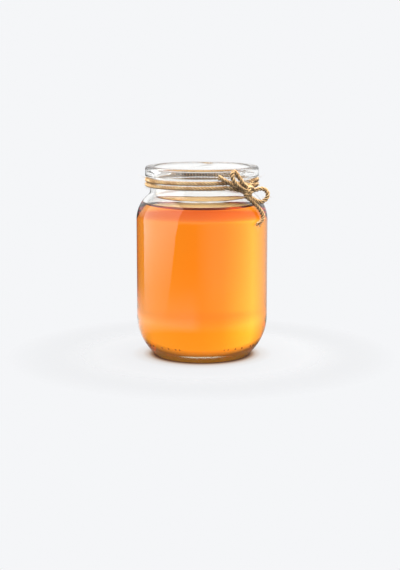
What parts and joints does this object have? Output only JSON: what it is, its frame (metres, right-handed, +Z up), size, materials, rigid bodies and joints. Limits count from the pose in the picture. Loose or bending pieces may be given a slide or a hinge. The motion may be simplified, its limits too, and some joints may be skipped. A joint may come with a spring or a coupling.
{
  "type": "jar of honey",
  "caption": "Open round glass jar filled with amber honey up to its shoulder, with natural twine wound round the neck and tied in a bow.",
  "frame": {"origin": "centre of the base, on the surface that the jar stands on", "axes": "+Z up along the jar's axis, -Y the front, and the bow on the front right"},
  "size_m": [0.0863, 0.086, 0.1251],
  "materials": {
    "glass": "clear colourless soda-lime glass, polished",
    "honey": "clear amber liquid, glossy",
    "twine": "undyed jute, twisted and hairy"
  },
  "bodies": {
    "root": {"jar": "glass", "honey": "honey", "twine": "twine"}
  },
  "joints": []
}
